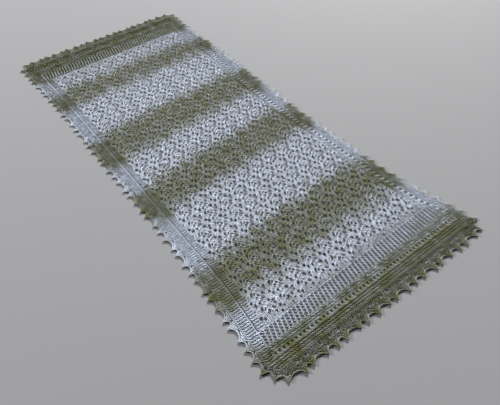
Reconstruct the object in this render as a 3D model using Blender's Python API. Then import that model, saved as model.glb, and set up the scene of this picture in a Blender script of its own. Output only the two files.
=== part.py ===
"""Openwork knitted scarf, laid out flat on a surface.

The pieces are drawn on the blocked scarf first, where every row is straight and
every side is parallel. laid() then moves them to where the laid scarf has them:
its sides draw in at the middle, its near end flares and its rows run askew.
"""
import math

import bmesh
import bpy
from mathutils import Vector

# The wall and its seams
WALL = 0.0016
RIDGE = 0.0022
SEAM_GAP = 0.0003

# Widths on the blocked scarf, each measured from the centre line
LINE_HALF = 0.2100
SEAM_HALF = 0.2295
ROOT_HALF = 0.2375

# Heights on the blocked scarf, each measured from its middle towards the far end
FAR = {"lace": 0.4475, "mesh": 0.4600, "band": 0.4950, "eyelets": 0.5185, "seam": 0.5450, "root": 0.5640}
NEAR = {"lace": -0.4500, "mesh": -0.4690, "band": -0.5010, "eyelets": -0.5190, "seam": -0.5440, "root": -0.5640}

# The lace: repeats across and along, and the largest hole of a repeat
LACE_ACROSS = 10
LACE_ALONG = 25
LACE_REPEAT_WIDTH = 0.0410
LACE_HOLE_WIDTH = 0.0046
LACE_HOLE_LENGTH = 0.0056
LACE_HOLE_AT = (0.46, 0.50)
LACE_SWELL = 0.0003

# The mesh bands: slanting ribs, each a column of the net
MESH_COLUMNS = 52
MESH_SLANT = 0.0080
MESH_STEADY = 0.0120

# Garter ridges
GARTER_PITCH = 0.0060

# The rib beside the slot line of a side strip
RIB_IN = 0.0004
RIB_WIDTH = 0.0018

# The corners: how far each is cut off the eyelet bands, and the radius of the edging's
# root line round it, first at the left and then at the right
CORNER_CUT = 0.0120
FAR_CORNERS = (0.0310, 0.0260)
NEAR_CORNERS = (0.0460, 0.0320)

# The toothed edging
END_TEETH = 24
SIDE_TEETH = 43
END_TOOTH = 0.0120
SIDE_TOOTH = 0.0095
TOOTH_UNEVEN = 0.16
TOOTH_WANDER = 0.18
EDGING_HOLE = 0.0033
EDGING_HOLE_IN = 0.0130
CORNER_HOLE_IN = 0.0005
ARCH_STEPS = (0.0, 0.2, 0.5, 0.8)
ARCH_POWER = 2.2
HOLE_SIDES = 6

# Where the points of a plain seam lie, and a length that counts as none
SIDE_SEAM_STEP = 0.0120
END_SEAM_STEP = 0.1000
TINY = 1e-6

# Where the laid scarf lies: for each height, the two roots of the side teeth, the
# two slot lines, and the rise of a row for each metre across
LAID_COLUMNS = ("along", "left_root", "left_line", "right_line", "right_root", "rise")
LAID = (
    (0.585, -0.2450, -0.2195, 0.2000, 0.2370, 0.016),
    (0.400, -0.2362, -0.2105, 0.2030, 0.2312, 0.035),
    (0.250, -0.2325, -0.2092, 0.2060, 0.2350, 0.060),
    (0.100, -0.2338, -0.2075, 0.1950, 0.2308, 0.085),
    (-0.050, -0.2330, -0.2080, 0.1975, 0.2280, 0.098),
    (-0.200, -0.2328, -0.2075, 0.2070, 0.2305, 0.098),
    (-0.350, -0.2395, -0.2078, 0.2145, 0.2375, 0.070),
    (-0.450, -0.2440, -0.2160, 0.2275, 0.2515, 0.045),
    (-0.510, -0.2470, -0.2215, 0.2435, 0.2665, 0.025),
    (-0.580, -0.2480, -0.2255, 0.2500, 0.2715, 0.010),
)

COLOURS = {
    "silver": (0.62, 0.65, 0.72),
    "pale_olive": (0.46, 0.46, 0.34),
    "olive": (0.30, 0.29, 0.15),
}


def clear_scene():
    for item in list(bpy.data.objects):
        bpy.data.objects.remove(item)


def station(along, column):
    """The named column of LAID at this height, on a smooth curve through its rows."""
    k = LAID_COLUMNS.index(column)
    rows = LAID
    i = 0
    while i < len(rows) - 2 and along < rows[i + 1][0]:
        i += 1
    high, low = rows[i], rows[i + 1]
    span = high[0] - low[0]
    t = min(max((high[0] - along) / span, 0.0), 1.0)
    before = rows[max(i - 1, 0)]
    after = rows[min(i + 2, len(rows) - 1)]
    slope_high = (low[k] - before[k]) / (before[0] - low[0]) * span
    slope_low = (after[k] - high[k]) / (high[0] - after[0]) * span
    return (
        high[k] * (2 * t**3 - 3 * t**2 + 1)
        + slope_high * (t**3 - 2 * t**2 + t)
        + low[k] * (3 * t**2 - 2 * t**3)
        + slope_low * (t**3 - t**2)
    )


def laid(across, along):
    """Where a point of the blocked scarf lies on the surface."""
    side = "left" if across < 0 else "right"
    left_line = station(along, "left_line")
    right_line = station(along, "right_line")
    away = abs(across)
    if away <= LINE_HALF:
        part = (across + LINE_HALF) / (2 * LINE_HALF)
        x = left_line + part * (right_line - left_line)
    else:
        line = left_line if side == "left" else right_line
        root = station(along, side + "_root")
        stretch = abs(root - line) / (ROOT_HALF - LINE_HALF)
        reach = min(away, ROOT_HALF) - LINE_HALF
        past = max(away - ROOT_HALF, 0.0)
        x = line + math.copysign(reach * stretch + past, across)
    return x, along + station(along, "rise") * x


def seam_points(low, high, step):
    """Both ends of a seam, and each whole number of steps between them.

    Two pieces that meet along a curved seam so share their points.
    """
    between = [k * step for k in range(math.ceil(low / step), math.floor(high / step) + 1)]
    return [low] + [place for place in between if low + TINY < place < high - TINY] + [high]


def new_material(slot):
    material = bpy.data.materials.get(slot)
    if material is None:
        material = bpy.data.materials.new(slot)
        material.use_nodes = True
        shader = material.node_tree.nodes["Principled BSDF"]
        shader.inputs["Base Color"].default_value = (*COLOURS[slot], 1.0)
        shader.inputs["Roughness"].default_value = 0.9
        shader.inputs["Metallic"].default_value = 0.0
        material.diffuse_color = (*COLOURS[slot], 1.0)
    return material


def new_object(name, bm, slot):
    """Makes the blocked mesh a named object, laid where the scarf lies."""
    for vert in bm.verts:
        vert.co.x, vert.co.y = laid(vert.co.x, vert.co.y)
    bmesh.ops.recalc_face_normals(bm, faces=bm.faces[:])
    mesh = bpy.data.meshes.new(name)
    bm.to_mesh(mesh)
    bm.free()
    mesh.materials.append(new_material(slot))
    made = bpy.data.objects.new(name, mesh)
    bpy.context.scene.collection.objects.link(made)
    return made


def fill_round_hole(bm, corners, rim):
    """Fills between a four-sided cell and the hole in it."""
    edges = []
    for loop in (corners, rim):
        for a, b in zip(loop, loop[1:] + loop[:1]):
            edges.append(bm.edges.get((a, b)) or bm.edges.new((a, b)))
    bmesh.ops.triangle_fill(bm, use_beauty=True, use_dissolve=False, edges=edges)


def sheet_of_cells(name, slot, grid, tops, holes=None):
    """A closed wall over a grid of blocked points.

    grid[j][i] is a point, tops[j][i] its height, and holes maps a cell (i, j) to
    the points round the hole that is cut through it.
    """
    holes = holes or {}
    bm = bmesh.new()
    rows, columns = len(grid), len(grid[0])
    top = [[bm.verts.new((*grid[j][i], tops[j][i])) for i in range(columns)] for j in range(rows)]
    base = [[bm.verts.new((*grid[j][i], 0.0)) for i in range(columns)] for j in range(rows)]
    for j in range(rows - 1):
        for i in range(columns - 1):
            upper = [top[j][i], top[j][i + 1], top[j + 1][i + 1], top[j + 1][i]]
            lower = [base[j][i], base[j][i + 1], base[j + 1][i + 1], base[j + 1][i]]
            if (i, j) not in holes:
                bm.faces.new(upper)
                bm.faces.new(lower[::-1])
                continue
            rim_top = [bm.verts.new((*point, WALL)) for point in holes[i, j]]
            rim_base = [bm.verts.new((*point, 0.0)) for point in holes[i, j]]
            fill_round_hole(bm, upper, rim_top)
            fill_round_hole(bm, lower, rim_base)
            for k in range(len(rim_top)):
                n = (k + 1) % len(rim_top)
                bm.faces.new((rim_top[k], rim_top[n], rim_base[n], rim_base[k]))
    border = [(i, 0) for i in range(columns)]
    border += [(columns - 1, j) for j in range(1, rows)]
    border += [(i, rows - 1) for i in range(columns - 2, -1, -1)]
    border += [(0, j) for j in range(rows - 2, 0, -1)]
    for (i, j), (m, n) in zip(border, border[1:] + border[:1]):
        bm.faces.new((base[j][i], base[n][m], top[n][m], top[j][i]))
    return new_object(name, bm, slot)


def sheet_of_outline(name, slot, outline, holes):
    """A closed flat wall inside an outline of blocked points, with holes cut through it."""
    bm = bmesh.new()
    edges = []
    for loop in [outline] + holes:
        verts = [bm.verts.new((*point, 0.0)) for point in loop]
        for a, b in zip(verts, verts[1:] + verts[:1]):
            edges.append(bm.edges.new((a, b)))
    bmesh.ops.triangle_fill(bm, use_beauty=True, use_dissolve=False, edges=edges)
    raised = bmesh.ops.extrude_face_region(bm, geom=bm.faces[:])
    for item in raised["geom"]:
        if isinstance(item, bmesh.types.BMVert):
            item.co.z = WALL
    return new_object(name, bm, slot)


def ring(centre, width, length, sides=HOLE_SIDES):
    """Points round an oval hole."""
    points = []
    for k in range(sides):
        turn = 2 * math.pi * (k + 0.5) / sides
        points.append((centre[0] + width / 2 * math.cos(turn), centre[1] + length / 2 * math.sin(turn)))
    return points


def make_lace_panel():
    """The centre panel: one hole for each repeat of the lace, inside plain margins."""
    half = LINE_HALF - SEAM_GAP / 2
    start = -LACE_ACROSS * LACE_REPEAT_WIDTH / 2
    across = [-half] + [start + i * LACE_REPEAT_WIDTH for i in range(LACE_ACROSS + 1)] + [half]
    repeat = (FAR["lace"] - NEAR["lace"]) / LACE_ALONG
    along = [NEAR["mesh"] + SEAM_GAP / 2]
    along += [NEAR["lace"] + j * repeat for j in range(LACE_ALONG + 1)]
    along += [FAR["mesh"] - SEAM_GAP / 2]
    grid = [[(x, y) for x in across] for y in along]
    tops = [[WALL + LACE_SWELL * (0 < i < len(across) - 1) for i in range(len(across))] for _ in along]
    holes = {}
    for j in range(LACE_ALONG):
        for i in range(LACE_ACROSS):
            x = across[i + 1] + LACE_HOLE_AT[0] * LACE_REPEAT_WIDTH
            y = along[j + 1] + LACE_HOLE_AT[1] * repeat
            holes[i + 1, j + 1] = ring((x, y), LACE_HOLE_WIDTH, LACE_HOLE_LENGTH)
    sheet_of_cells("lace_panel", "silver", grid, tops, holes)


def make_mesh_band(name, low, high):
    """A band of net, whose columns are slanting ribs."""
    half = LINE_HALF - SEAM_GAP / 2
    low += SEAM_GAP / 2
    high -= SEAM_GAP / 2
    count = 2 * MESH_COLUMNS
    grid = []
    for y, slant in ((low, -MESH_SLANT / 2), (high, MESH_SLANT / 2)):
        row = []
        for k in range(count + 1):
            x = -half + 2 * half * k / count
            steady = min(1.0, (half - abs(x)) / (MESH_STEADY + abs(slant)))
            row.append((x + slant * steady, y))
        grid.append(row)
    tops = [[RIDGE if k % 2 else WALL for k in range(count + 1)]] * 2
    sheet_of_cells(name, "pale_olive", grid, tops)


def make_eyelet_band(name, low, high, eyelets):
    """A garter band, ridged from side to side, with a level row for its small eyelets."""
    half = SEAM_HALF - SEAM_GAP / 2
    low += SEAM_GAP / 2
    high -= SEAM_GAP / 2
    along = [(low, WALL)]
    for start, end in ((low, eyelets - GARTER_PITCH / 2), (eyelets + GARTER_PITCH / 2, high)):
        ridges = round((end - start) / GARTER_PITCH)
        pitch = (end - start) / ridges
        if start != low:
            along.append((start, WALL))
        for k in range(ridges):
            along.append((start + (k + 0.5) * pitch, RIDGE))
            along.append((start + (k + 1) * pitch, WALL))
    across = seam_points(-half, half, END_SEAM_STEP)
    outer = high if high > 0 else low
    grid = []
    for y, _ in along:
        cut = max(0.0, CORNER_CUT - abs(outer - y))
        grid.append([(min(max(x, cut - half), half - cut), y) for x in across])
    tops = [[height for _ in across] for _, height in along]
    sheet_of_cells(name, "olive", grid, tops)


def make_side_strip(name, side):
    """The garter strip between the slot line and the edging, with a rib along the line."""
    inner = LINE_HALF + SEAM_GAP / 2
    outer = SEAM_HALF - SEAM_GAP / 2
    profile = [
        (inner, WALL),
        (inner + RIB_IN, RIDGE),
        (inner + RIB_IN + RIB_WIDTH, RIDGE),
        (inner + 2 * RIB_IN + RIB_WIDTH, WALL),
        (outer, WALL),
    ]
    along = seam_points(NEAR["band"] + SEAM_GAP / 2, FAR["band"] - SEAM_GAP / 2, SIDE_SEAM_STEP)
    grid = [[(side * x, y) for x, _ in profile] for y in along]
    tops = [[height for _, height in profile] for _ in along]
    sheet_of_cells(name, "silver", grid, tops)


def tooth_places(count, pitch, depth, seed):
    """The tips along an edging, each with its place and its reach, as unevenly as they are pinned."""
    tips = []
    for i in range(count):
        edge = min(i, count - 1 - i, 2) / 2
        shift = TOOTH_WANDER * math.sin(2.4 * i + seed) * edge
        reach = 1 + TOOTH_UNEVEN * math.sin(1.9 * i + 2 * seed)
        tips.append(((i + 0.5 + shift) * pitch, depth * reach))
    return tips


def scalloped(tips, length):
    """Distances along and out from the root line: round arches between pointed tips."""
    points = []
    first, last = tips[0], tips[-1]
    sets = [((-first[0], first[1]), first)] + list(zip(tips, tips[1:]))
    sets += [(last, (2 * length - last[0], last[1]))]
    for (start, reach_a), (end, reach_b) in sets:
        for step in ARCH_STEPS:
            s = start + step * (end - start)
            reach = reach_a + (reach_b - reach_a) * step
            if -TINY < s < length - TINY:
                points.append((s, reach * abs(2 * step - 1) ** ARCH_POWER))
    return points


def end_path(root, toward, corners):
    """Follows the root line of an end from its left side round to its right side.

    Returns the function that places a point, and where each stretch of the line ends.
    """
    left, right = corners
    first = math.pi / 2 * left
    second = first + 2 * ROOT_HALF - left - right
    third = second + math.pi / 2 * right

    def place(s, out):
        if s < first:
            away = (-math.cos(s / left), math.sin(s / left))
            radius, centre_x = left, left - ROOT_HALF
        elif s > second:
            away = (math.sin((s - second) / right), math.cos((s - second) / right))
            radius, centre_x = right, ROOT_HALF - right
        else:
            return s - first + left - ROOT_HALF, root + toward * out
        reach = radius + out
        return centre_x + away[0] * reach, root + toward * (away[1] * reach - radius)

    return place, (first, second, third)


def make_end_edging(name, heights, toward, corners, seed):
    """The deep lace edging of an end, with one large hole in each tooth."""
    place, (first, second, length) = end_path(heights["root"], toward, corners)
    tips = tooth_places(END_TEETH, length / END_TEETH, END_TOOTH, seed)
    outline = [place(s, out) for s, out in scalloped(tips, length)]
    starts = [heights["root"] - toward * (radius - SEAM_GAP / 2) for radius in corners]
    outline[0] = (-ROOT_HALF, starts[0])
    outline.append((ROOT_HALF, starts[1]))
    seam = heights["seam"] + toward * SEAM_GAP / 2
    inner = SEAM_HALF + SEAM_GAP / 2
    cut = [(inner, seam - toward * CORNER_CUT), (inner - CORNER_CUT, seam)]
    between = seam_points(-cut[1][0], cut[1][0], END_SEAM_STEP)[1:-1]
    outline.append((inner, starts[1]))
    outline += cut
    outline += [(x, seam) for x in reversed(between)]
    outline += [(-x, y) for x, y in reversed(cut)]
    outline.append((-inner, starts[0]))
    holes = []
    for s, _ in tips:
        hole_in = EDGING_HOLE_IN if first < s < second else CORNER_HOLE_IN
        holes.append(ring(place(s, -hole_in), 2 * EDGING_HOLE, 2 * EDGING_HOLE))
    sheet_of_outline(name, "olive", outline, holes)


def make_side_edging(name, side, seed):
    """The narrow edging of a side, with its row of shallow teeth."""
    corner = 0 if side < 0 else 1
    low = NEAR["root"] + NEAR_CORNERS[corner] + SEAM_GAP / 2
    high = FAR["root"] - FAR_CORNERS[corner] - SEAM_GAP / 2
    length = high - low
    tips = tooth_places(SIDE_TEETH, length / SIDE_TEETH, SIDE_TOOTH, seed)
    outline = [(side * (ROOT_HALF + out), low + s) for s, out in scalloped(tips, length)]
    outline.append((side * ROOT_HALF, high))
    inner = SEAM_HALF + SEAM_GAP / 2
    outline += [(side * inner, y) for y in reversed(seam_points(low, high, SIDE_SEAM_STEP))]
    sheet_of_outline(name, "silver", outline, [])


def centre_on_origin():
    """Puts the middle of the whole scarf's underside at the origin."""
    made = [item for item in bpy.data.objects if item.type == "MESH"]
    points = [vert.co for item in made for vert in item.data.vertices]
    low = [min(point[k] for point in points) for k in range(3)]
    high = [max(point[k] for point in points) for k in range(3)]
    shift = Vector(((low[0] + high[0]) / 2, (low[1] + high[1]) / 2, low[2]))
    for item in made:
        for vert in item.data.vertices:
            vert.co -= shift


def main():
    clear_scene()
    make_lace_panel()
    make_mesh_band("mesh_band_far", FAR["mesh"], FAR["band"])
    make_mesh_band("mesh_band_near", NEAR["band"], NEAR["mesh"])
    make_eyelet_band("eyelet_band_far", FAR["band"], FAR["seam"], FAR["eyelets"])
    make_eyelet_band("eyelet_band_near", NEAR["seam"], NEAR["band"], NEAR["eyelets"])
    make_side_strip("side_strip_left", -1)
    make_side_strip("side_strip_right", 1)
    make_end_edging("edging_far", FAR, 1, FAR_CORNERS, 0.3)
    make_end_edging("edging_near", NEAR, -1, NEAR_CORNERS, 1.1)
    make_side_edging("edging_left", -1, 0.7)
    make_side_edging("edging_right", 1, 2.0)
    centre_on_origin()


main()
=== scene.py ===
import math

import bmesh
import bpy
import numpy as np
from mathutils import Matrix, Vector
from mathutils.kdtree import KDTree


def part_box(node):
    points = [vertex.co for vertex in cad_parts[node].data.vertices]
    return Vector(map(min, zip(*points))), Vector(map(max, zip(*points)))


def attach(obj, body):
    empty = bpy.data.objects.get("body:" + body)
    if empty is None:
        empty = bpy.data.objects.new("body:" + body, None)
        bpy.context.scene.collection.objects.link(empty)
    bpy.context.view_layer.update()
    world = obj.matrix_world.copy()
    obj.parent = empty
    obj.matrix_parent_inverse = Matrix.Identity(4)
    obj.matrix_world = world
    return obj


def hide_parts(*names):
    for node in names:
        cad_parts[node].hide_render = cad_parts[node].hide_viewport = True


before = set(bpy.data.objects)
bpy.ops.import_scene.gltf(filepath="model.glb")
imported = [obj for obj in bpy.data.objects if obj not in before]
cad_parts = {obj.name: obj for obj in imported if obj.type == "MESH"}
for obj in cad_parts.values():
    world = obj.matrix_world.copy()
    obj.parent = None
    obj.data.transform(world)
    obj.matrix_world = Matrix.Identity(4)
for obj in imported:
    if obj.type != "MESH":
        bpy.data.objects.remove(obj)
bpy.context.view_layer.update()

# The knitting is worked out on the blocked scarf, where each row is straight, and then
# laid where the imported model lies. Heights run from the near end to the far one.
scarf = {
    "lineHalf": 0.2100,         # from the middle to each slot line
    "seamHalf": 0.2295,         # to the seam of each side edging
    "rootHalf": 0.2375,         # to the roots of the side teeth
    "cornerCut": 0.0120,        # the eyelet bands lose this much at their corners
    "far": {"lace": 0.4475, "mesh": 0.4600, "band": 0.4950,
            "eyelets": 0.5185, "seam": 0.5450, "root": 0.5640},
    "near": {"lace": -0.4500, "mesh": -0.4690, "band": -0.5010,
             "eyelets": -0.5190, "seam": -0.5440, "root": -0.5640},
    "farCorners": (0.0310, 0.0260),     # radius of the left corner, and of the right one
    "nearCorners": (0.0460, 0.0320),
    "ridge": 0.0060,            # one garter ridge along the scarf
    "gap": 0.0003,              # between neighbouring pieces
}
sides = {-1: "left", 1: "right"}

# height, left root, left slot line, right slot line, right root, rise of a row per metre across
laidColumns = ("along", "leftRoot", "leftLine", "rightLine", "rightRoot", "rise")
laidRows = np.array([
    (0.585, -0.2450, -0.2195, 0.2000, 0.2370, 0.016),
    (0.400, -0.2362, -0.2105, 0.2030, 0.2312, 0.035),
    (0.250, -0.2325, -0.2092, 0.2060, 0.2350, 0.060),
    (0.100, -0.2338, -0.2075, 0.1950, 0.2308, 0.085),
    (-0.050, -0.2330, -0.2080, 0.1975, 0.2280, 0.098),
    (-0.200, -0.2328, -0.2075, 0.2070, 0.2305, 0.098),
    (-0.350, -0.2395, -0.2078, 0.2145, 0.2375, 0.070),
    (-0.450, -0.2440, -0.2160, 0.2275, 0.2515, 0.045),
    (-0.510, -0.2470, -0.2215, 0.2435, 0.2665, 0.025),
    (-0.580, -0.2480, -0.2255, 0.2500, 0.2715, 0.010),
])


def station(along, column):
    # the named column at these heights, on a smooth curve through the rows
    k = laidColumns.index(column)
    i = (along[:, None] < laidRows[1:-1, 0]).sum(axis=1)
    last = len(laidRows) - 1
    high, low = laidRows[i], laidRows[i + 1]
    before, after = laidRows[np.maximum(i - 1, 0)], laidRows[np.minimum(i + 2, last)]
    span = high[:, 0] - low[:, 0]
    t = np.clip((high[:, 0] - along) / span, 0, 1)
    slopeHigh = (low[:, k] - before[:, k]) / (before[:, 0] - low[:, 0]) * span
    slopeLow = (after[:, k] - high[:, k]) / (high[:, 0] - after[:, 0]) * span
    curve = high[:, k] * (2 * t**3 - 3 * t**2 + 1) + slopeHigh * (t**3 - 2 * t**2 + t)
    return curve + low[:, k] * (3 * t**2 - 2 * t**3) + slopeLow * (t**3 - t**2)


def pair(x, y):
    # places from their two numbers, of which one may be the same for all
    return np.stack(np.broadcast_arrays(np.asarray(x, float), y), axis=-1)


def spread(points):
    # blocked points to where they lie, before the scarf is centred
    across, along = points[:, 0], points[:, 1]
    leftLine, rightLine = station(along, "leftLine"), station(along, "rightLine")
    half, rootHalf = scarf["lineHalf"], scarf["rootHalf"]
    inside = leftLine + (across + half) / (2 * half) * (rightLine - leftLine)
    isLeft = across < 0
    line = np.where(isLeft, leftLine, rightLine)
    root = np.where(isLeft, station(along, "leftRoot"), station(along, "rightRoot"))
    away = np.abs(across)
    reach = (np.minimum(away, rootHalf) - half) * np.abs(root - line) / (rootHalf - half)
    outside = line + np.sign(across) * (reach + np.maximum(away - rootHalf, 0))
    x = np.where(away <= half, inside, outside)
    return pair(x, along + station(along, "rise") * x)


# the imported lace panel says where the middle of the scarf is
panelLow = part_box("lace_panel")[0]
panelCorner = pair([scarf["gap"] / 2 - scarf["lineHalf"]], scarf["near"]["mesh"] + scarf["gap"] / 2)
middle = spread(panelCorner)[0] - np.array(panelLow[:2])


def laid(points):
    return spread(points) - middle


print("frame loaded, middle at", middle.round(5))

# Yarn: each stitch is made of short closed strands, which are copies of three small shapes.
strand = {
    "ringWidth": 0.866,         # width of a ball's ring beside its middle, as a share
    "ringReach": 1.4,           # a cord's two rings are drawn this much towards its ends
    "lowest": 0.0002,           # no yarn lies below this height
    "holeReach": 1.9,           # a hole moves strands out to this many of its radii,
    "cornerReach": 1.4,         # and then their corners out to this many
}


def strandShape(sides, rings):
    # one closed strand, a unit long along Z and a unit wide, with pointed ends
    bm = bmesh.new()
    bmesh.ops.create_uvsphere(bm, u_segments=sides, v_segments=rings + 1, radius=0.5)
    bmesh.ops.triangulate(bm, faces=bm.faces[:])
    if rings > 1:
        beside = [vert for vert in bm.verts if abs(vert.co.z) < 0.49]
        wider = 1 / strand["ringWidth"]
        bmesh.ops.scale(bm, vec=(wider, wider, strand["ringReach"]), verts=beside)
    bm.verts.index_update()
    points = np.array([vert.co[:] for vert in bm.verts])
    faces = np.array([[vert.index for vert in face.verts] for face in bm.faces])
    bm.free()
    return points, faces


grain = strandShape(4, 1)
thinGrain = strandShape(3, 1)
cord = strandShape(5, 2)
up = np.array([0.0, 0.0, 1.0])


class Holes:
    # round holes that yarn is pushed out of, as blocking opens them
    def __init__(self, centres, radii):
        self.centres, self.radii = laid(centres), np.asarray(radii, float)
        self.tree = KDTree(len(self.centres))
        for index, centre in enumerate(self.centres):
            self.tree.insert((centre[0], centre[1], 0.0), index)
        self.tree.balance()

    def push(self, points, reach):
        # how far each point moves, to the rim of its nearest hole or a little outwards
        flat = points[:, :2]
        nearest = np.array([self.tree.find((x, y, 0.0))[1] for x, y in flat.tolist()])
        away = flat - self.centres[nearest]
        radius = self.radii[nearest]
        distance = np.maximum(np.linalg.norm(away, axis=1), 1e-6)
        wanted = radius + (reach - 1) / reach * distance
        move = np.where(distance < reach * radius, wanted - distance, 0.0)
        return np.column_stack([away / distance[:, None] * move[:, None], np.zeros(len(points))])

    def open(self, made):
        # each strand moves whole first, then its corners one by one
        made = made + self.push(made.mean(axis=1), strand["holeReach"])[:, None, :]
        flat = made.reshape(-1, 3)
        return (flat + self.push(flat, strand["cornerReach"])).reshape(made.shape)


class Knitting:
    # gathers strands as arrays and makes them one mesh at the end
    def __init__(self, holes=None):
        self.points, self.faces, self.dyes, self.count = [], [], [], 0
        self.holes = holes

    def strands(self, start, end, width, thick, height, endHeight=None, lift=0.0, longer=0.15,
                shape=grain, dye=None, tone=0.0):
        # start and end are blocked points, longer is what each strand runs past them as a
        # share, lift bows it upwards, and dye is the height whose colour it takes
        n = len(start)
        if n == 0:
            return
        low = np.broadcast_to(height, n)
        high = low if endHeight is None else np.broadcast_to(endHeight, n)
        a = np.column_stack([laid(start), low])
        b = np.column_stack([laid(end), high])
        length = np.linalg.norm(b - a, axis=1, keepdims=True)
        along = (b - a) / np.maximum(length, 1e-9)
        side = np.cross(up, along)
        side /= np.maximum(np.linalg.norm(side, axis=1, keepdims=True), 1e-9)
        over = np.cross(along, side)
        unit, faces = shape
        wide, deep, bow = (np.broadcast_to(value, n)[:, None, None]
                           for value in (width, thick, lift))
        at = unit[None, :, 2:3]
        made = (a + b)[:, None, :] / 2
        made = made + along[:, None, :] * at * length[:, :, None] * (1 + longer)
        made = made + side[:, None, :] * unit[None, :, 0:1] * wide
        made = made + over[:, None, :] * unit[None, :, 1:2] * deep
        made = made + up * bow * (1 - 4 * at**2)
        if self.holes is not None:
            made = self.holes.open(made)
        made[:, :, 2] = np.maximum(made[:, :, 2], strand["lowest"])
        corners = len(unit)
        firsts = self.count + np.arange(n)[:, None, None] * corners
        self.points.append(made.reshape(-1, 3))
        self.faces.append((faces[None] + firsts).reshape(-1, 3))
        self.count += n * corners
        middleOf = (start + end) / 2
        dyedAt = middleOf[:, 1] if dye is None else np.broadcast_to(dye, n)
        values = np.column_stack([middleOf[:, 0], dyedAt, np.broadcast_to(tone, n)])
        self.dyes.append(np.repeat(values, corners, axis=0))

    def make(self, name):
        points = np.concatenate(self.points)
        faces = np.concatenate(self.faces)
        dyes = np.concatenate(self.dyes)
        mesh = bpy.data.meshes.new(name)
        mesh.vertices.add(len(points))
        mesh.vertices.foreach_set("co", points.ravel())
        mesh.loops.add(faces.size)
        mesh.loops.foreach_set("vertex_index", faces.ravel())
        mesh.polygons.add(len(faces))
        mesh.polygons.foreach_set("loop_start", np.arange(0, faces.size, 3))
        mesh.polygons.foreach_set("use_smooth", np.ones(len(faces), bool))
        dye = mesh.attributes.new("dye", "FLOAT_VECTOR", "POINT")
        dye.data.foreach_set("vector", dyes.ravel())
        low, high = points[:, :2].min(axis=0), points[:, :2].max(axis=0)
        flat = mesh.uv_layers.new(name="OFBake")
        flat.data.foreach_set("uv", ((points[:, :2] - low) / (high - low))[faces.ravel()].ravel())
        mesh.update(calc_edges=True)
        mesh.validate()
        piece = bpy.data.objects.new(name, mesh)
        bpy.context.scene.collection.objects.link(piece)
        print(name, len(faces), "triangles")
        return piece


# Garter stitch, for the bands, the strips and the sides of the lace.
garter = {
    "part": 0.0009,             # the two rows of a ridge lie this far from its middle
    "bump": dict(width=0.0020, thick=0.0014, height=0.0014, lift=0.0003, longer=0.55),
    "valley": dict(width=0.0016, thick=0.0010, height=0.0009, longer=0.4),
    "paintedValleyShade": -0.3,         # painted shade: the valley legs are darker yarn, a tone below 0
    "valleyAt": 0.25,           # legs of the valley, in stitches from the middle of theirs
    "valleyFrom": 0.1,          # where they begin and how far they run, in ridges
    "valleyRun": 0.8,
}


def garterField(knit, x, y, pitch, ridge, tone):
    # a ridge is two rows of bumps that interlock, and the legs behind it fill the valley in painted
    # shade
    base = pair(x, y)
    half = np.array([pitch / 2, 0])
    above = np.array([0, garter["part"]])
    knit.strands(base - half + above, base + half + above, tone=tone, **garter["bump"])
    knit.strands(base - above, base + 2 * half - above, tone=tone, **garter["bump"])
    # the valley legs take a darker tone, as painted shade between the ridges
    run = np.array([0, garter["valleyRun"] * ridge])
    for side in (-garter["valleyAt"], garter["valleyAt"]):
        foot = base + np.array([side * pitch, garter["valleyFrom"] * ridge])
        knit.strands(foot, foot + run, tone=tone + garter["paintedValleyShade"], **garter["valley"])


# The lace panel: rows are counted from the near end, and stitches from the left.
lace = {
    "repeatsAcross": 10,
    "repeatsAlong": 25,
    "stitches": 10,             # in a repeat
    "rows": 12,
    "repeatWidth": 0.0410,
    "edge": 0.0050,             # garter outside the last stitch, up to the slot line
    "edgeStitches": 2,          # stitches at each side that are worked in garter
    "edgeColumns": 3,
    "slotGap": 0.0024,
    "leg": dict(width=0.0019, thick=0.0013, lift=0.0002, longer=0.60),
    "legHeight": 0.0011,
    "legRise": 0.0004,          # the head of a stitch is this much higher than its foot
    "legPart": 0.0019,          # its legs are parted by shares of this at foot and head
    "footShare": 0.10,
    "headShare": 0.55,
    "footUp": 0.05,             # where its legs begin and end, in rows
    "headUp": 0.30,
    "decreaseLean": 0.22,       # a decrease leans by this many stitches,
    "decreaseNarrow": 1.6,      # is this much narrower, and lies a little higher
    "decreaseRise": 0.0003,
    "bar": dict(width=0.0011, thick=0.0009, height=0.0010, longer=0.3, shape=thinGrain),
    "barHalf": 0.62,            # a yarn over reaches this many stitches each way,
    "barSag": 0.25,             # and its ends hang by this many rows
    "yarnOverRise": 1.20,       # how far the yarn over is drawn up, in rows
    "smallRise": 0.80,
    "overWidth": 1.65,          # how far its neighbours are pushed apart
    "smallWidth": 1.45,
    "hole": 0.0025,
    "smallHole": 0.0018,
    "lastHole": 0.0022,
    "lastEyelets": ((-1, 7), (-2, 0), (-2, 4), (-4, 2), (-4, 8)),   # row below the lace, stitch
    "holeUp": 0.30,             # how far a hole's middle is above its yarn over's row
    "holeInset": 3.2,           # no hole lies nearer the side than this, in stitches
    "holeWobble": 0.0006,
    "holeRange": (0.75, 1.15),
    "wave": 0.0042,             # how far the rows rise and fall over a repeat
    "waveAt": 7.6,
    "easeRows": 12,             # the wave grows over this many rows and stitches
    "easeStitches": 4,
    "wobble": 0.00012,
    "tone": -1.1,               # how dark the yarn is on the whole, and how uneven
    "toneSpread": 1.2,
    "plainTone": -0.8,
    "edgeTone": 1.6,
    "edgeToneSpread": 1.4,
    "pieces": 3,
}
# row of the repeat, slot of the yarn over, slot of the decrease that pays for it: the
# stitches between lean towards the vein of the leaf, from the left and from the right
laceChart = [
    (0, 3, 7), (3, 5, 7), (6, 2, 7), (9, 4, 7),
    (1, 10, 8), (4, 11, 8), (7, 10, 8), (10, 9, 8),
    (2, 6, 5), (7, 6, 5), (11, 6, 5), (0, 8, 9), (8, 8, 9), (4, 5, 4), (5, 1, 2),
]
smallOvers = 7                  # the last ones of the chart are drawn up less

# thin bars cross the left slot line, and run this far past the knitting at each side of it
slotBar = dict(width=0.0012, thick=0.0010, height=0.0008, shape=cord)
slotBarPast = 0.0004


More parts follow.
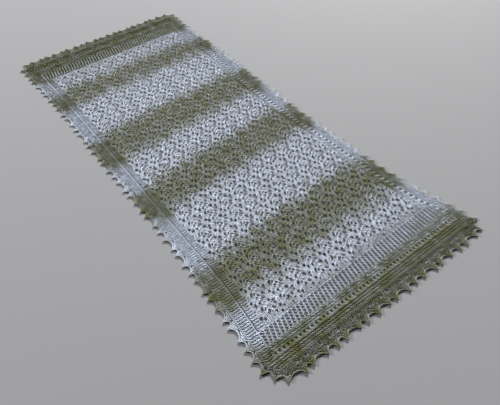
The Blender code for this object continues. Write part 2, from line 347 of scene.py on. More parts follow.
def laceLinks():
    # for each stitch of the repeat, the slots below it that it is worked into
    links = []
    for row in range(lace["rows"]):
        worked = [entry for entry in laceChart if entry[0] == row]
        for slot in range(lace["stitches"]):
            below = [slot]
            for _, over, decrease in worked:
                lean = 1 if decrease > over else -1
                moved = (lean * (slot - over)) % lace["stitches"]
                reach = abs(decrease - over)
                if moved == 0:
                    below = []
                elif moved < reach:
                    below = [slot - lean]
                elif moved == reach:
                    below = [slot - lean, slot]
            links.append((row, slot, below))
    return links


def yarnOvers():
    # the yarn overs of the repeat, and whether each is a small one
    for k, (row, over, _) in enumerate(laceChart):
        yield k >= len(laceChart) - smallOvers, row, over % lace["stitches"]


def settle(links, steps=300, give=0.2, linkPull=0.3):
    # lets the stitches of a repeat pull each other straight, as blocking does
    rows, stitches = lace["rows"], lace["stitches"]
    shift = np.zeros((rows, stitches))
    rest = np.ones((rows, stitches))
    for isSmall, row, over in yarnOvers():
        rest[row, [over - 1, over]] = lace["smallWidth" if isSmall else "overWidth"]
    rest *= stitches / rest.sum(axis=1, keepdims=True)
    for _ in range(steps):
        pull = np.zeros_like(shift)
        gap = 1 + np.roll(shift, -1, axis=1) - shift - rest
        pull += gap - np.roll(gap, 1, axis=1)
        for row, slot, below in links:
            for under in below:
                lean = (slot + shift[row, slot]) - (under + shift[row - 1, under % stitches])
                pull[row, slot] -= linkPull * lean
                pull[row - 1, under % stitches] += linkPull * lean
        shift += give * pull
        shift -= shift.mean()
    return shift


class LaceGrid:
    # where each stitch of the panel lies on the blocked scarf
    def __init__(self, links):
        near, far = scarf["near"], scarf["far"]
        self.shift = settle(links)
        self.stitches, self.rows = lace["stitches"], lace["rows"]
        self.width = lace["repeatWidth"] / self.stitches
        self.rowHeight = (far["lace"] - near["lace"]) / (self.rows * lace["repeatsAlong"])
        self.plainNear = round((near["lace"] - near["mesh"]) / self.rowHeight)
        self.plainFar = round((far["mesh"] - far["lace"]) / self.rowHeight)
        self.totalRows = self.plainNear + self.rows * lace["repeatsAlong"] + self.plainFar
        self.columns = self.stitches * lace["repeatsAcross"]
        self.start = -self.columns * self.width / 2
        self.rise = np.zeros((self.rows, self.stitches))
        for isSmall, row, over in yarnOvers():
            rise = lace["smallRise" if isSmall else "yarnOverRise"]
            self.rise[row, over] = rise * self.rowHeight

    def isPattern(self, row):
        return (row >= self.plainNear) & (row < self.totalRows - self.plainFar)

    def patternRow(self, row):
        return (row - self.plainNear) % self.rows

    def pieceOf(self, row):
        return np.minimum(row * lace["pieces"] // self.totalRows, lace["pieces"] - 1)

    def headOf(self, row, column):
        # the head of each stitch, and the height whose dye it takes; both counts are arrays
        fromEnds = np.minimum(row + 1, self.totalRows - row)
        fromSides = np.minimum(column + 0.5, self.columns - column - 0.5)
        easeSides = np.clip(fromSides / lace["easeStitches"], 0, 1)
        ease = np.clip(fromEnds / lace["easeRows"], 0, 1) * easeSides
        slotShift = self.shift[self.patternRow(row), column % self.stitches]
        moved = np.where(self.isPattern(row), slotShift, 0) * easeSides
        x = self.start + (column + 0.5 + moved) * self.width
        turn = 2 * math.pi * ((column + 0.5 - lace["waveAt"]) / self.stitches)
        wave = lace["wave"] * ease * np.cos(turn)
        y = scarf["near"]["mesh"] + (row + 0.5) * self.rowHeight
        return pair(x, y + wave), y


def laceHoles(grid):
    # the holes that blocking opens: one for each yarn over, and a few small ones that run
    # on into the plain rows of the near end
    uneven = np.random.default_rng(8)
    leftMost = grid.stitches * np.arange(lace["repeatsAcross"])
    inside = -grid.start - lace["holeInset"] * grid.width
    raised = np.array([0, lace["holeUp"] * grid.rowHeight])
    centres, radii = [], []

    def heads(rows, over):
        row, column = np.meshgrid(grid.plainNear + rows, over + leftMost, indexing="ij")
        centre, _ = grid.headOf(row.ravel(), column.ravel())
        return centre[np.abs(centre[:, 0]) < inside]

    for isSmall, row, over in yarnOvers():
        centre = heads(row + grid.rows * np.arange(lace["repeatsAlong"]), over)
        centres.append(centre + raised + uneven.normal(0, lace["holeWobble"], centre.shape))
        radius = lace["smallHole" if isSmall else "hole"]
        radii.append(radius * uneven.uniform(*lace["holeRange"], len(centre)))
    for row, over in lace["lastEyelets"]:
        centre = heads(row, over)
        centres.append(centre)
        radii.append(lace["lastHole"] * uneven.uniform(*lace["holeRange"], len(centre)))
    return Holes(np.concatenate(centres), np.concatenate(radii))


def yarnOver(grid, knit, centre, dye, tone):
    reach = np.array([lace["barHalf"] * grid.width, 0])
    sag = np.array([0, lace["barSag"] * grid.rowHeight])
    knit.strands(centre - reach - sag, centre, dye=dye, tone=tone, **lace["bar"])
    knit.strands(centre, centre + reach - sag, dye=dye, tone=tone, **lace["bar"])


def knitStitches(knit, foot, head, part, height, dye, tone):
    # each knit stitch is two legs, close at the foot and parted at the head
    for side in (-1, 1):
        a = foot + np.array([side * lace["footShare"] * part, 0.0])
        b = head + np.array([side * lace["headShare"] * part, 0.0])
        knit.strands(a, b, height=height, endHeight=height + lace["legRise"],
                     dye=dye, tone=tone, **lace["leg"])


def laceEdges(grid, knits, randoms):
    # the garter stitch at each side of the panel, and the left one's bars over the slot line
    edgeRows = np.arange(0, grid.totalRows, 2)
    y = scarf["near"]["mesh"] + (edgeRows + 1) * grid.rowHeight
    inner = -grid.start - lace["edgeStitches"] * grid.width
    across = lace["edgeStitches"] * grid.width + lace["edge"] - lace["slotGap"]
    pitch = across / lace["edgeColumns"]
    for k, knit in enumerate(knits):
        chosen = y[grid.pieceOf(edgeRows) == k]
        for side in (-1, 1):
            for column in range(lace["edgeColumns"]):
                x = side * (inner + (column + 0.5) * pitch)
                tone = randoms.normal(lace["edgeTone"], lace["edgeToneSpread"], len(chosen))
                garterField(knit, x, chosen, pitch, 2 * grid.rowHeight, tone)
            if side < 0:
                outer = grid.start - lace["edge"] + slotBarPast
                knit.strands(pair(outer + lace["slotGap"], chosen), pair(outer, chosen), **slotBar)


def makeLacePanels():
    links = laceLinks()
    grid = LaceGrid(links)
    randoms = np.random.default_rng(7)
    holes = laceHoles(grid)
    knits = [Knitting(holes) for _ in range(lace["pieces"])]
    counts = np.meshgrid(np.arange(grid.totalRows), np.arange(grid.columns), indexing="ij")
    row, column = counts[0].ravel(), counts[1].ravel()
    wobble = randoms.normal(0, lace["wobble"], (grid.totalRows, grid.columns, 2))
    head, dye = grid.headOf(row, column)
    head = head + wobble[row, column]
    piece = grid.pieceOf(row)
    isPattern = grid.isPattern(row)
    isEdge = (column < lace["edgeStitches"]) | (column >= grid.columns - lace["edgeStitches"])
    # each job is one kind of stitch: where it stands, how far its foot is to the side, and
    # how many stitches it is worked into, with none for a yarn over
    jobs = []
    for patternRow, slot, below in links:
        here = isPattern & ~isEdge
        here &= (grid.patternRow(row) == patternRow) & (column % grid.stitches == slot)
        if not below:
            jobs.append((here, 0, 0))
        for under in below:
            jobs.append((here, under - slot, len(below)))
    jobs.append((~isPattern & ~isEdge, 0, 1))
    for here, lean, many in jobs:
        index = np.flatnonzero(here)
        for k, knit in enumerate(knits):
            chosen = index[piece[index] == k]
            if len(chosen) == 0:
                continue
            tone = randoms.normal(lace["tone"], lace["toneSpread"], len(chosen))
            tone = tone + lace["plainTone"] * ~isPattern[chosen]
            if many == 0:
                rise = grid.rise[grid.patternRow(row[chosen]), column[chosen] % grid.stitches]
                yarnOver(grid, knit, head[chosen] + pair(0, rise), dye[chosen], tone)
                continue
            underRow = np.maximum(row[chosen] - 1, 0)
            underColumn = np.clip(column[chosen] + lean, 0, grid.columns - 1)
            foot, _ = grid.headOf(underRow, underColumn)
            foot = foot + wobble[underRow, underColumn]
            foot[row[chosen] == 0, 1] -= grid.rowHeight
            fromOver = isPattern[chosen] & (underRow >= grid.plainNear)
            rise = grid.rise[grid.patternRow(underRow), underColumn % grid.stitches]
            foot[:, 1] += np.where(fromOver, rise, 0)
            foot = foot + np.array([0.0, lace["footUp"] * grid.rowHeight])
            top = head[chosen] + np.array([0.0, lace["headUp"] * grid.rowHeight])
            part, height = lace["legPart"], lace["legHeight"]
            if many == 2:
                top = top + np.array([-lace["decreaseLean"] * np.sign(lean) * grid.width, 0])
                part = part / lace["decreaseNarrow"]
                height = height + lace["decreaseRise"]
            knitStitches(knit, foot, top, part, height, dye[chosen], tone)
    laceEdges(grid, knits, randoms)
    length = grid.totalRows * grid.rowHeight / lace["pieces"]
    places = ("near", "middle", "far")
    return [knit.make("laceKnit_" + place) for knit, place in zip(knits, places)], length


# The garter bands, each with one row of eyelets.
eyeletBand = {
    "columns": 112,
    "eyelets": 52,
    "far": {"open": 0.0042, "tone": 1.6, "seed": 11},   # the eyelets reach this far each way
    "near": {"open": 0.0030, "tone": 0.3, "seed": 12},
    "toneSpread": 1.4,
    "sideToneSpread": 1.0,
    "wobble": 0.00015,
    "keepIn": 0.001,            # stitches keep this far inside the cut corners
    "rimOut": 0.0006,           # the rim stands this far past the eyelets
    "post": dict(thick=0.0014, height=0.0013, longer=0.1, shape=cord),
    "postAcross": 0.0042,       # what is left between two eyelets
    "postShare": 0.7,           # width of a post's strands, as a share of the rim's distance
    "postTone": 0.3,
    "rimWidth": 0.0020,
    "rimTone": -0.6,
}


def makeEyeletBand(end):
    ends, band = scarf[end], eyeletBand[end]
    low, high = sorted((ends["band"], ends["seam"]))
    outer, row, tone = ends["seam"], ends["eyelets"], band["tone"]
    half = scarf["seamHalf"] - scarf["gap"]
    pitch = 2 * half / eyeletBand["columns"]
    columns = -half + (np.arange(eyeletBand["columns"]) + 0.5) * pitch
    randoms = np.random.default_rng(band["seed"])
    knit = Knitting()
    for start, stop in ((low, row - band["open"]), (row + band["open"], high)):
        ridges = round((stop - start) / scarf["ridge"])
        ridge = (stop - start) / ridges
        for k in range(ridges):
            y = start + (k + 0.5) * ridge
            cut = max(0.0, scarf["cornerCut"] - abs(outer - y))
            x = columns[np.abs(columns) < half - cut - eyeletBand["keepIn"]]
            wobble = randoms.normal(0, eyeletBand["wobble"], len(x))
            tones = randoms.normal(tone, eyeletBand["toneSpread"], len(x))
            garterField(knit, x + wobble, y + wobble, pitch, ridge, tones)
    # the eyelets lie between the slot lines, so their row is plain garter outside these
    side = columns[np.abs(columns) > scarf["lineHalf"]]
    tones = randoms.normal(tone, eyeletBand["sideToneSpread"], len(side))
    garterField(knit, side, row, pitch, scarf["ridge"], tones)
    step = 2 * scarf["lineHalf"] / eyeletBand["eyelets"]
    posts = -scarf["lineHalf"] + np.arange(eyeletBand["eyelets"] + 1) * step
    rim = band["open"] + eyeletBand["rimOut"]
    for away in (-rim, -rim / 3, rim / 3, rim):
        if abs(away) < rim:
            reach, width = eyeletBand["postAcross"] / 2, eyeletBand["postShare"] * rim
            strandTone = tone + eyeletBand["postTone"]
        else:
            reach, width = step / 2, eyeletBand["rimWidth"]
            strandTone = tone + eyeletBand["rimTone"]
        knit.strands(pair(posts - reach, row + away), pair(posts + reach, row + away),
                     width=width, tone=strandTone, **eyeletBand["post"])
    return knit.make("eyeletKnit_" + end)


# The garter strips down the sides, each with its slot line.
strip = {
    "inner": 0.2142,
    "columns": 4,
    "open": 0.0007,             # the right slot line is this much wider
    "tone": 2.0,
    "toneSpread": 1.4,
    "chain": dict(width=0.0017, thick=0.0015, height=0.0015, longer=0.35, shape=cord, tone=1.2),
    "chainStep": 0.0030,
    "chainIn": 0.0012,          # the chain lies this far outside the left slot line's middle
    "chainSway": 0.00015,
    "chainTurn": 900,
    "cross": dict(width=0.0026, thick=0.0014, height=0.0012, shape=cord, tone=1.0),
    "crossApart": 0.0014,
    "crossPast": 0.0008,
}


def makeSideStrip(side):
    near, far = scarf["near"]["band"], scarf["far"]["band"]
    outer = scarf["seamHalf"] - scarf["gap"]
    first = strip["inner"] + (strip["open"] if side > 0 else 0)
    pitch = (outer - first) / strip["columns"]
    ridges = round((far - near) / scarf["ridge"])
    ridge = (far - near) / ridges
    y = near + (np.arange(ridges) + 0.5) * ridge
    randoms = np.random.default_rng(21 + side)
    knit = Knitting()
    for column in range(strip["columns"]):
        x = side * (first + (column + 0.5) * pitch)
        tones = randoms.normal(strip["tone"], strip["toneSpread"], ridges)
        garterField(knit, x, y, pitch, ridge, tones)
    line = side * scarf["lineHalf"]
    inner = side * first
    if side < 0:
        # a chain stitch runs along the slot line, and thin bars hold it to the strip
        chain = np.arange(near, far, strip["chainStep"])
        x = line - strip["chainIn"] + strip["chainSway"] * np.sin(chain * strip["chainTurn"])
        knit.strands(pair(x, chain), pair(x, chain + strip["chainStep"]), **strip["chain"])
        knit.strands(pair(line - slotBarPast, y), pair(inner - slotBarPast, y), **slotBar)
    else:
        # every other ridge crosses the slot line, and leaves a row of long holes
        a, b = line - lace["slotGap"] - strip["crossPast"], inner + strip["crossPast"]
        for away in (-strip["crossApart"], strip["crossApart"]):
            knit.strands(pair(a, y[::2] + away), pair(b, y[::2] + away), **strip["cross"])
    return knit.make("stripKnit_" + sides[side])


# The mesh bands: ribs that slant across the band, with bars from each rib to the next.
meshBand = {
    "columns": 52,
    "levels": 5,
    "slant": 0.0080,
    "steady": 0.0120,           # the ribs come upright this near the slot lines
    "zigzag": 0.00035,
    "far": {"rib": 0.0026, "ribHeight": 0.0014, "ribTone": 0.6, "seed": 31,
            "bar": 0.0011, "barHeight": 0.0007, "barTone": -0.2, "drop": 0},
    "near": {"rib": 0.0012, "ribHeight": 0.0017, "ribTone": 3.2, "seed": 32,
             "bar": 0.0012, "barHeight": 0.0014, "barTone": 1.6, "drop": 1},
    "ribThick": 0.0014,
    "ribApart": 0.3,            # a rib is two cords, whose place and width are shares of its own
    "ribShare": 0.66,
    "barThick": 0.0012,
    "barSag": 0.0010,
    "edge": 0.0019,             # the first and the last bar are wider
    "edgeTone": -0.2,
    "toneSpread": 0.5,
}


def makeMeshBand(end):
    low, high = sorted((scarf[end]["mesh"], scarf[end]["band"]))
    band, levels = meshBand[end], meshBand["levels"]
    half = scarf["lineHalf"] - scarf["gap"] / 2
    knit = Knitting()

    def ribAt(column, level):
        x = -half + 2 * half * column / meshBand["columns"]
        part = level / levels
        slant = meshBand["slant"] * (part - 0.5)
        steady = np.minimum(1, (half - np.abs(x)) / (meshBand["steady"] + np.abs(slant)))
        isEven = np.round(level * 2) % 2 == 0
        zigzag = meshBand["zigzag"] * np.where(isEven, 1, -1) * (steady > 0)
        return pair(x + slant * steady + zigzag, low + (high - low) * part)

    columns = np.arange(meshBand["columns"] + 1, dtype=float)
    randoms = np.random.default_rng(band["seed"])
    for k in range(levels * 2):
        a, b = ribAt(columns, k / 2), ribAt(columns, (k + 1) / 2)
        tone = randoms.normal(band["ribTone"], meshBand["toneSpread"], len(a))
        for side in (-1, 1):
            away = np.array([meshBand["ribApart"] * side * band["rib"], 0])
            knit.strands(a + away, b + away, meshBand["ribShare"] * band["rib"],
                         meshBand["ribThick"], band["ribHeight"], shape=cord, tone=tone)
    # the near band's bars drop by a level from each rib to the next
    drop = band["drop"]
    bars = [(float(level), float(level - drop), False) for level in range(1, levels + drop)]
    bars = [(0.0, 0.0, True)] + bars + [(float(levels), float(levels), True)]
    for left, right, isOuter in bars:
        a, b = ribAt(columns[:-1], left), ribAt(columns[1:], right)
        sag = 0.0 if left == levels else meshBand["barSag"]
        mid = (a + b) / 2 + np.array([0, sag])
        width = meshBand["edge"] if isOuter else band["bar"]
        tone = meshBand["edgeTone"] if isOuter else band["barTone"]
        tones = randoms.normal(tone, meshBand["toneSpread"], len(a))
        for start, stop in ((a, mid), (mid, b)):
            knit.strands(start, stop, width, meshBand["barThick"], band["barHeight"],
                         shape=cord, tone=tones)
    return knit.make("meshKnit_" + end)


# The toothed edging: places along it are measured on the root line, and outwards from it.
edging = {
    "endTeeth": 24,
    "sideTeeth": 43,
    "endTooth": 0.0120,
    "sideTooth": 0.0095,
    "uneven": 0.16,             # how much the teeth differ in reach and in place
    "wander": 0.18,
    "archPower": 2.2,           # a higher power makes rounder arches and thinner tips
    "endFan": 0.005,            # the fans begin this far inside the root line
    "sideFan": 0.004,
    "fanEnd": 0.86,             # the last row begins before this share of the tooth,
    "lastRow": 0.9,             # and ends at this one
    "rowStep": 0.0031,
    "legPitch": 0.0040,
    "fewestLegs": 4,
    "leg": dict(width=0.0017, thick=0.0011, height=0.0011, lift=0.0003, longer=0.5),
    "legApart": 0.0008,
    "footShare": 0.4,
    "bar": dict(width=0.0009, thick=0.0009, height=0.0007, longer=0.1, shape=thinGrain,
                tone=-0.5),
    "barFrom": 0.001,
    "seam": dict(width=0.0020, thick=0.0013, height=0.0013, longer=0.5, tone=0.3),
    "seamStep": 0.0028,
    "seamIn": 0.0004,
    "rim": dict(width=0.0012, thick=0.0012, height=0.0011, longer=0.2),
    "rimStrands": 7,
    "rimOut": 1.12,
    "rimFrom": 0.0018,          # holes larger than this have a rim
    "bind": dict(width=0.0019, thick=0.0015, height=0.0012, longer=0.5, shape=cord, tone=1.0),
    "bindStep": 0.0011,
    "hole": 0.0036,
    "holeIn": 0.0130,
    "cornerHoleIn": 0.0005,
    # along, outwards and radius
    "eyelets": ((-0.0050, -0.0062, 0.0021), (0.0050, -0.0062, 0.0021), (0.0, -0.0020, 0.0020)),
    "sideEyelet": (0.0, -0.0012, 0.0016),
    "seamGap": 0.0006,
    "sideSeamGap": 0.0005,
    # which way an end points, the tone, and the seeds of the teeth's places and of the yarn
    "far": {"toward": 1, "tone": 0.8, "teethSeed": 0.3, "seed": 41},
    "near": {"toward": -1, "tone": -2.4, "teethSeed": 1.1, "seed": 42},
    "left": {"tone": 0.0, "teethSeed": 0.7, "seed": 43},
    "right": {"tone": 0.0, "teethSeed": 2.0, "seed": 44},
    "endFlat": (0.52, 0.032),
    "sideFlat": (0.017, 1.05),
}


def toothPlaces(count, length, depth, seed):
    # the tips along an edging, each with its place and its reach
    pitch = length / count
    tips = []
    for i in range(count):
        ease = min(i, count - 1 - i, 2) / 2
        shift = edging["wander"] * math.sin(2.4 * i + seed) * ease
        reach = 1 + edging["uneven"] * math.sin(1.9 * i + 2 * seed)
        tips.append(((i + 0.5 + shift) * pitch, depth * reach))
    return np.array(tips)


def endPath(root, toward, corners):
    # follows the root line of an end from its left side round to its right side
    left, right = corners
    rootHalf = scarf["rootHalf"]
    first = math.pi / 2 * left
    second = first + 2 * rootHalf - left - right
    third = second + math.pi / 2 * right

    def place(s, out):
        turnLeft, turnRight = s / left, (s - second) / right
        x = s - first + left - rootHalf
        y = root + toward * out
        isFirst, isLast = s < first, s > second
        x = np.where(isFirst, left - rootHalf - np.cos(turnLeft) * (left + out), x)
        y = np.where(isFirst, root + toward * (np.sin(turnLeft) * (left + out) - left), y)
        x = np.where(isLast, rootHalf - right + np.sin(turnRight) * (right + out), x)
        y = np.where(isLast, root + toward * (np.cos(turnRight) * (right + out) - right), y)
        return pair(x, y)

    return place, (first, second, third)


def sidePath(side):
    corner = 0 if side < 0 else 1
    low = scarf["near"]["root"] + scarf["nearCorners"][corner]
    high = scarf["far"]["root"] - scarf["farCorners"][corner]

    def place(s, out):
        return pair(side * (scarf["rootHalf"] + out), low + s)

    return place, high - low


def fanStitches(tips, edges, inner, fanFrom, holesAt, tone, randoms):
    # rows of stitches from the seam into each tooth, drawn together towards its tip
    feet, heads, tones, bars = [], [], [], []
    for (tip, depth), left, right in zip(tips, edges[:-1], edges[1:]):
        columns = max(edging["fewestLegs"], round((right - left) / edging["legPitch"]))
        step = (right - left) / columns
        holes = holesAt(tip)
        for column in range(columns):
            at = left + (column + 0.5) / columns * (right - left)
            wide, out = at - tip, inner(at)
            while out < depth * edging["fanEnd"]:
                nextOut = min(out + edging["rowStep"], depth * edging["lastRow"])
                draw = []
                for level in (out, nextOut):
                    part = max(0.0, (level + fanFrom) / (depth + fanFrom))
                    draw.append(1 - part ** (1 / edging["archPower"]) if part > 0 else 1.0)
                a = (tip + wide * draw[0], out)
                b = (tip + wide * draw[1], nextOut)
                midX, midY = (a[0] + b[0]) / 2 - tip, (a[1] + b[1]) / 2
                if not any((midX - x) ** 2 + (midY - y) ** 2 < r * r for x, y, r in holes):
                    feet.append(a)
                    heads.append(b)
                    tones.append(randoms.normal(tone, 1))
                    if column < columns - 1 and nextOut > inner(tip) + edging["barFrom"]:
                        bars.append((a, (tip + (wide + step) * draw[0], out)))
                out = nextOut
    return np.array(feet), np.array(heads), np.array(tones), np.array(bars)


def makeEdging(where, place, length, tips, inner, fanFrom, holesAt):
    # fans of stitches that draw together at the tips, bound off along round arches
    tone, randoms = edging[where]["tone"], np.random.default_rng(edging[where]["seed"])
    knit = Knitting()
    edges = np.concatenate([[0.0], (tips[1:, 0] + tips[:-1, 0]) / 2, [length]])
    feet, heads, tones, bars = fanStitches(tips, edges, inner, fanFrom, holesAt, tone, randoms)
    for side in (-edging["legApart"], edging["legApart"]):
        knit.strands(place(feet[:, 0] + side * edging["footShare"], feet[:, 1]),
                     place(heads[:, 0] + side, heads[:, 1]), tone=tones, **edging["leg"])
    knit.strands(place(bars[:, 0, 0], bars[:, 0, 1]), place(bars[:, 1, 0], bars[:, 1, 1]),
                 **edging["bar"])
    # the edging is picked up along its inner side
    s = np.arange(0, length, edging["seamStep"])
    seam = np.array([inner(at) for at in s])
    line = place(s, seam - edging["seamIn"])
    knit.strands(line[:-1], line[1:], **edging["seam"])
    # the rim of each large hole
    a = np.arange(edging["rimStrands"]) / edging["rimStrands"] * 2 * math.pi
    b = a + 2 * math.pi / edging["rimStrands"]
    for tip, _ in tips:
        for along, out, r in holesAt(tip):
            if r > edging["rimFrom"]:
                rim, s = edging["rimOut"] * r, tip + along
                start = place(s + rim * np.cos(a), out + rim * np.sin(a))
                end = place(s + rim * np.cos(b), out + rim * np.sin(b))
                knit.strands(start, end, **edging["rim"])
    # the bind-off follows the arches
    s = np.arange(0, length, edging["bindStep"])
    before = (-tips[0, 0], tips[0, 1])
    after = (2 * length - tips[-1, 0], tips[-1, 1])
    bounds = np.array([before, *tips.tolist(), after])
    between = np.searchsorted(bounds[:, 0], s, side="right") - 1
    between = np.clip(between, 0, len(bounds) - 2)
    low, high = bounds[between], bounds[between + 1]
    t = (s - low[:, 0]) / (high[:, 0] - low[:, 0])
    reach = low[:, 1] + (high[:, 1] - low[:, 1]) * t
    line = place(s, reach * np.abs(2 * t - 1) ** edging["archPower"])
    knit.strands(line[:-1], line[1:], **edging["bind"])
    return knit.make("edgingKnit_" + where)


def makeEndEdging(end):
    ends, corners = scarf[end], scarf[end + "Corners"]
    place, (first, second, length) = endPath(ends["root"], edging[end]["toward"], corners)
    tips = toothPlaces(edging["endTeeth"], length, edging["endTooth"], edging[end]["teethSeed"])
    gap = edging["seamGap"]
    deep = abs(ends["root"] - ends["seam"]) - gap

    def inner(s):
        # the seam is straight and its corner is cut, so round a corner it lies at another depth
        if first < s < second:
            return -deep
        if s <= first:
            radius, angle = corners[0], s / corners[0]
        else:
            radius, angle = corners[1], (length - s) / corners[1]
        sideDeep = scarf["rootHalf"] - scarf["seamHalf"]
        sine, cosine = max(math.sin(angle), 0.01), max(math.cos(angle), 0.01)
        cut = (2 * radius - sideDeep - deep - scarf["cornerCut"]) / (sine + cosine)
        return min((radius - deep) / sine, (radius - sideDeep) / cosine, cut) + gap - radius

    def holesAt(tip):
        if first < tip < second:
            return ((0.0, -edging["holeIn"], edging["hole"]), *edging["eyelets"])
        return ((0.0, -edging["cornerHoleIn"], edging["hole"]),)

    return makeEdging(end, place, length, tips, inner, edging["endFan"], holesAt)


def makeSideEdging(side):
    where = sides[side]
    place, length = sidePath(side)
    tips = toothPlaces(edging["sideTeeth"], length, edging["sideTooth"], edging[where]["teethSeed"])
    deep = scarf["rootHalf"] - scarf["seamHalf"] - edging["sideSeamGap"]

    def inner(s):
        return -deep

    def holesAt(tip):
        return (edging["sideEyelet"],)

    return makeEdging(where, place, length, tips, inner, edging["sideFan"], holesAt)


# Materials: sums on the values of a shader are written as plain sums.
class Value:
    # wraps a socket, so that each sum adds its own node
    def __init__(self, tree, socket):
        self.tree, self.socket = tree, socket

    def maths(self, operation, first, second, clamp=False):
        node = self.tree.nodes.new("ShaderNodeMath")
        node.operation = operation
        node.use_clamp = clamp
        for slot, item in zip(node.inputs, (first, second)):
            if isinstance(item, Value):
                self.tree.links.new(item.socket, slot)
            else:
                slot.default_value = item
        return Value(self.tree, node.outputs[0])

    def clamped(self):
        return self.maths("ADD", self, 0.0, clamp=True)

    def __add__(self, other):
        return self.maths("ADD", self, other)

    def __radd__(self, other):
        return self.maths("ADD", other, self)

    def __sub__(self, other):
        return self.maths("SUBTRACT", self, other)

    def __rsub__(self, other):
        return self.maths("SUBTRACT", other, self)

    def __mul__(self, other):
        return self.maths("MULTIPLY", self, other)

    def __rmul__(self, other):
        return self.maths("MULTIPLY", other, self)

    def __truediv__(self, other):
        return self.maths("DIVIDE", self, other)

    def __rtruediv__(self, other):
        return self.maths("DIVIDE", other, self)


class Shader:
    def __init__(self, name):
        self.material = bpy.data.materials.new(name)
        self.material.use_nodes = True
        self.tree = self.material.node_tree
        self.surface = self.tree.nodes["Principled BSDF"]

    def node(self, kind, settings=None, inputs=None, output=0):
        made = self.tree.nodes.new(kind)
        for key, value in (settings or {}).items():
            if key == "stops":
                self.setStops(made.color_ramp.elements, value)
            else:
                setattr(made, key, value)
        for key, value in (inputs or {}).items():
            self.put(made.inputs[key], value)
        return Value(self.tree, made.outputs[output])

    def setStops(self, stops, grey):
        # a new ramp has two stops already
        for k, (at, amount) in enumerate(grey):
            stop = stops[k] if k < 2 else stops.new(at)
            stop.position = at
            stop.color = (amount, amount, amount, 1)

    def put(self, socket, value):
        if isinstance(value, Value):
            self.tree.links.new(value.socket, socket)
        else:
            socket.default_value = value

    def finish(self, values):
        # values or links of the surface's own sockets
        for key, value in values.items():
            self.put(self.surface.inputs[key], value)

    def noise(self, place, scale, detail):
        # a soft noise about 0
        inputs = {"Vector": place, "Scale": scale, "Detail": detail}
        return self.node("ShaderNodeTexNoise", inputs=inputs) - 0.5


yarn = {
    "silver": (0.58, 0.64, 0.76, 1),
    "paleOlive": (0.50, 0.51, 0.40, 1),
    "olive": (0.122, 0.127, 0.036, 1),
    "roughness": 0.85,
    "sheen": 0.15,
    "sheenRoughness": 0.5,
    "specular": 0.12,
    "bandReach": 0.60,          # the ramp runs this far each way from the scarf's middle
    "creep": 0.0200,            # how far the dye creeps past its band, in wide flames
    "creepScale": 26.0,
    "strandCreep": 0.0055,      # and from strand to strand
    "cloud": 0.75,              # clouds of more and less dye
    "cloudScale": 48.0,
    "shade": 1.03,              # all in all, and then from strand to strand
    "toneShade": 0.095,
    "fleck": 0.22,              # along a strand
    "fleckScale": 700.0,
    "patch": 0.8,               # over a few stitches
    "patchScale": 95.0,
    "twistScale": 2600.0,       # the twist and the fine hairs of the yarn
    "twist": 0.6,
    "twistDepth": 0.0004,
}

# where the dye changes: height on the blocked scarf, and how much olive there is
dyeStops = [
    (-0.600, 0.94), (-0.524, 0.88), (-0.502, 0.72), (-0.488, 0.46), (-0.462, 0.12), (-0.425, 0.06),
    (-0.405, 0.30), (-0.380, 0.86), (-0.310, 0.88), (-0.290, 0.45), (-0.272, 0.08), (-0.160, 0.04),
    (-0.140, 0.40), (-0.120, 0.86), (-0.055, 0.86), (-0.037, 0.40), (-0.020, 0.06), (0.035, 0.05),
    (0.053, 0.40), (0.072, 0.84), (0.150, 0.86), (0.170, 0.40), (0.188, 0.06), (0.284, 0.08),
    (0.303, 0.42), (0.320, 0.84), (0.370, 0.84), (0.390, 0.40), (0.405, 0.14), (0.450, 0.26),
    (0.464, 0.80), (0.600, 0.98),
]


def bandShare(height):
    # heights, as numbers or as a shader's value, to places on the ramp
    return (height + yarn["bandReach"]) / (2 * yarn["bandReach"])


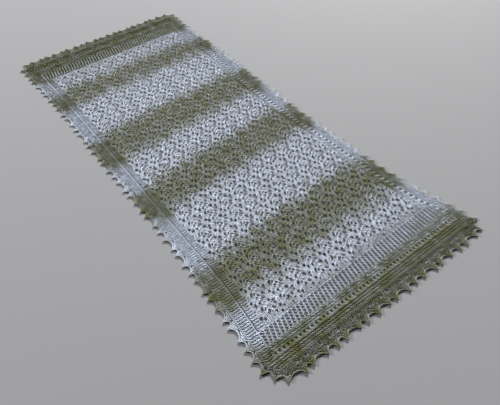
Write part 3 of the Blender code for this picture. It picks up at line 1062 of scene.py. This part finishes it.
def knitMaterial(name, plainColour):
    shader = Shader(name)
    dye = shader.node("ShaderNodeAttribute", {"attribute_name": "dye"}, output=1)
    across, height, tone = (shader.node("ShaderNodeSeparateXYZ", inputs={0: dye}, output=k)
                            for k in range(3))

    def placeAt(scale, layer=0.0):
        return shader.node("ShaderNodeCombineXYZ",
                           inputs={0: across * scale, 1: height * scale, 2: layer})

    # the dye creeps along the yarn, so its edges wander
    creep = shader.noise(placeAt(yarn["creepScale"]), 1.0, 2.0) * (2 * yarn["creep"])
    dyed = height + creep + tone * yarn["strandCreep"]
    stops = [(bandShare(at), amount) for at, amount in dyeStops]
    ramp = shader.node("ShaderNodeValToRGB", {"stops": stops}, {0: bandShare(dyed)})
    cloud = shader.noise(placeAt(yarn["cloudScale"], 3.0), 1.0, 1.0)
    amount = (ramp + cloud * yarn["cloud"]).clamped()
    mixed = shader.node("ShaderNodeMix", {"data_type": "RGBA"},
                        {"Factor": amount, "A": yarn["silver"], "B": yarn["olive"]}, output=2)
    # strands differ a little, and each is uneven along its length
    spot = shader.node("ShaderNodeTexCoord", output=3)
    fleck = shader.noise(spot, yarn["fleckScale"], 2.0)
    patch = shader.noise(placeAt(yarn["patchScale"]), 1.0, 1.0)
    shade = yarn["shade"] + tone * yarn["toneShade"] + fleck * yarn["fleck"]
    shade = shade + patch * yarn["patch"]
    grey = shader.node("ShaderNodeCombineColor", inputs={0: shade, 1: shade, 2: shade})
    colour = shader.node("ShaderNodeMix", {"data_type": "RGBA", "blend_type": "MULTIPLY"},
                         {"Factor": 1.0, "A": mixed, "B": grey}, output=2)
    twist = shader.noise(spot, yarn["twistScale"], 1.0)
    bump = shader.node("ShaderNodeBump", inputs={"Height": twist, "Strength": yarn["twist"],
                                                 "Distance": yarn["twistDepth"]})
    shader.finish({
        "Base Color": colour,
        "Roughness": yarn["roughness"],
        "Sheen Weight": yarn["sheen"],
        "Sheen Roughness": yarn["sheenRoughness"],
        "Specular IOR Level": yarn["specular"],
        "Normal": bump,
    })
    shader.material.diffuse_color = plainColour
    return shader.material


def dress(piece, material, node):
    piece.data.materials.append(material)
    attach(piece, "root")
    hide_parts(node)


silverYarn = knitMaterial("silverYarn", yarn["silver"])
paleOliveYarn = knitMaterial("paleOliveYarn", yarn["paleOlive"])
oliveYarn = knitMaterial("oliveYarn", yarn["olive"])

lacePieces, length = makeLacePanels()
for piece in lacePieces:
    dress(piece, silverYarn, "lace_panel")
print("lace panel knitted")

for end in ("far", "near"):
    dress(makeMeshBand(end), paleOliveYarn, "mesh_band_" + end)
for end in ("far", "near"):
    dress(makeEyeletBand(end), oliveYarn, "eyelet_band_" + end)
for side, name in sides.items():
    dress(makeSideStrip(side), silverYarn, "side_strip_" + name)
print("bands and strips knitted")

for end in ("far", "near"):
    dress(makeEndEdging(end), oliveYarn, "edging_" + end)
for side, name in sides.items():
    dress(makeSideEdging(side), silverYarn, "edging_" + name)
print("edgings knitted")

# The floor, the soft lights and the camera.
studio = {
    "floor": (0.375, 0.379, 0.390, 1),
    "floorHalf": 6.0,
    "floorRoughness": 0.9,
    "floorSpecular": 0.2,
    "lights": {
        "keyRight": dict(at=(7.6, 5.8, 2.65), size=1.3, power=2400, colour=(1.0, 0.99, 0.98)),
        "keyLeft": dict(at=(-5.6, 7.4, 2.55), size=1.3, power=1060, colour=(1.0, 0.99, 0.98)),
        "fill": dict(at=(0.8, 1.4, 2.6), size=2.5, power=6, colour=(0.94, 0.97, 1.0)),
    },
    "air": (0.80, 0.86, 1.0, 1),
    "airStrength": 0.030,
    "cameraAt": (-0.4690, -0.8085, 0.7735),
    "heading": 36.0,
    "down": 47.3,
    "roll": -1.3,
    "lens": 36.7,
    "sensor": 36,
}

bm = bmesh.new()
bmesh.ops.create_grid(bm, x_segments=1, y_segments=1, size=studio["floorHalf"])
floorMesh = bpy.data.meshes.new("floor")
bm.to_mesh(floorMesh)
bm.free()
floor = bpy.data.objects.new("floor", floorMesh)
bpy.context.scene.collection.objects.link(floor)
floorPaint = Shader("floorPaint")
floorPaint.finish({
    "Base Color": studio["floor"],
    "Roughness": studio["floorRoughness"],
    "Specular IOR Level": studio["floorSpecular"],
})
floorMesh.materials.append(floorPaint.material)


def softLight(name, at, size, power, colour):
    light = bpy.data.lights.new(name, "AREA")
    light.shape = "SQUARE"
    light.size = size
    light.energy = power
    light.color = colour
    lamp = bpy.data.objects.new(name, light)
    bpy.context.scene.collection.objects.link(lamp)
    lamp.location = at
    lamp.rotation_euler = (-Vector(at)).to_track_quat("-Z", "Y").to_euler()


for name, settings in studio["lights"].items():
    softLight(name, **settings)
world = bpy.data.worlds.new("studio")
world.use_nodes = True
air = world.node_tree.nodes["Background"]
air.inputs["Color"].default_value = studio["air"]
air.inputs["Strength"].default_value = studio["airStrength"]
bpy.context.scene.world = world
bpy.context.scene.view_settings.view_transform = "Standard"

heading, down = math.radians(studio["heading"]), math.radians(studio["down"])
lens = bpy.data.cameras.new("camera")
lens.lens = studio["lens"]
lens.sensor_width = studio["sensor"]
camera = bpy.data.objects.new("camera", lens)
bpy.context.scene.collection.objects.link(camera)
turn = Matrix.Rotation(-heading, 4, "Z") @ Matrix.Rotation(math.pi / 2 - down, 4, "X")
turn = turn @ Matrix.Rotation(math.radians(studio["roll"]), 4, "Z")
camera.matrix_world = Matrix.Translation(Vector(studio["cameraAt"]) - Vector((*middle, 0))) @ turn
bpy.context.scene.camera = camera
print("floor, light and camera set")
